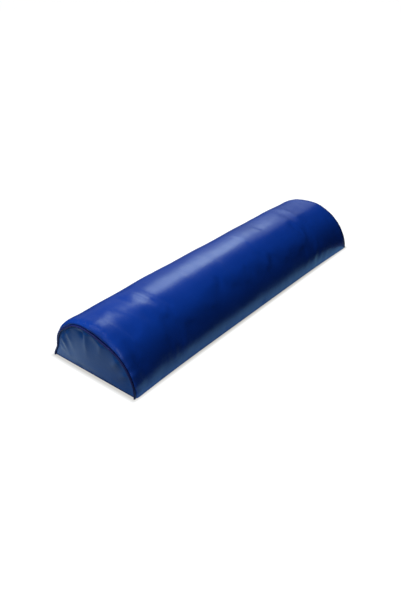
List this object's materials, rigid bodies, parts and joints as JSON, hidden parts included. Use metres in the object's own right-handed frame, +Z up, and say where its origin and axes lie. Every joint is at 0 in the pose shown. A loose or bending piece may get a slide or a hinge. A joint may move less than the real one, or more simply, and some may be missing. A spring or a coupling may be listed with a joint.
{
  "type": "bolster pillow",
  "caption": "Half-round massage bolster: a foam core in a blue leatherette cover with piped end seams and a zip along its flat base.",
  "frame": {"origin": "middle of the base, on the surface that the pillow stands on", "axes": "+X along the pillow towards the end where the closed zip's slider is, +Y across the base, +Z up"},
  "size_m": [0.6504, 0.1834, 0.0883],
  "materials": {
    "cover_leatherette": "satin",
    "end_leatherette": "satin",
    "base_leatherette": "satin",
    "piping_leatherette": "satin",
    "piping_filler": "matte",
    "foam": "matte",
    "thread": "satin",
    "zip_tape": "matte",
    "zip_coil": "satin",
    "zip_metal": "satin"
  },
  "bodies": {
    "cover": {"foam_core": "foam", "top_panel": "cover_leatherette", "left_end_panel": "end_leatherette", "right_end_panel": "end_leatherette", "front_base_panel": "base_leatherette", "rear_base_panel": "base_leatherette", "left_piping_sleeve": "piping_leatherette", "right_piping_sleeve": "piping_leatherette", "left_piping_cord": "piping_filler", "right_piping_cord": "piping_filler", "left_arc_thread": "thread", "right_arc_thread": "thread", "left_base_thread": "thread", "right_base_thread": "thread", "front_edge_thread": "thread", "rear_edge_thread": "thread", "front_zip_tape": "zip_tape", "rear_zip_tape": "zip_tape", "front_zip_coil": "zip_coil", "rear_zip_coil": "zip_coil", "front_zip_thread": "thread", "rear_zip_thread": "thread"},
    "slider": {"zip_slider": "zip_metal"},
    "pull": {"zip_pull": "zip_metal"}
  },
  "joints": [
    {"name": "zip_slider_travel", "type": "slide", "parent": "cover", "child": "slider", "axis": [-1, 0, 0], "range_m": [0, 0.544]},
    {"name": "zip_pull_swing", "type": "hinge", "parent": "slider", "child": "pull", "pos_m": [0.272, 0, 0.00205], "axis": [0, -1, 0], "range_deg": [0, 170]}
  ]
}
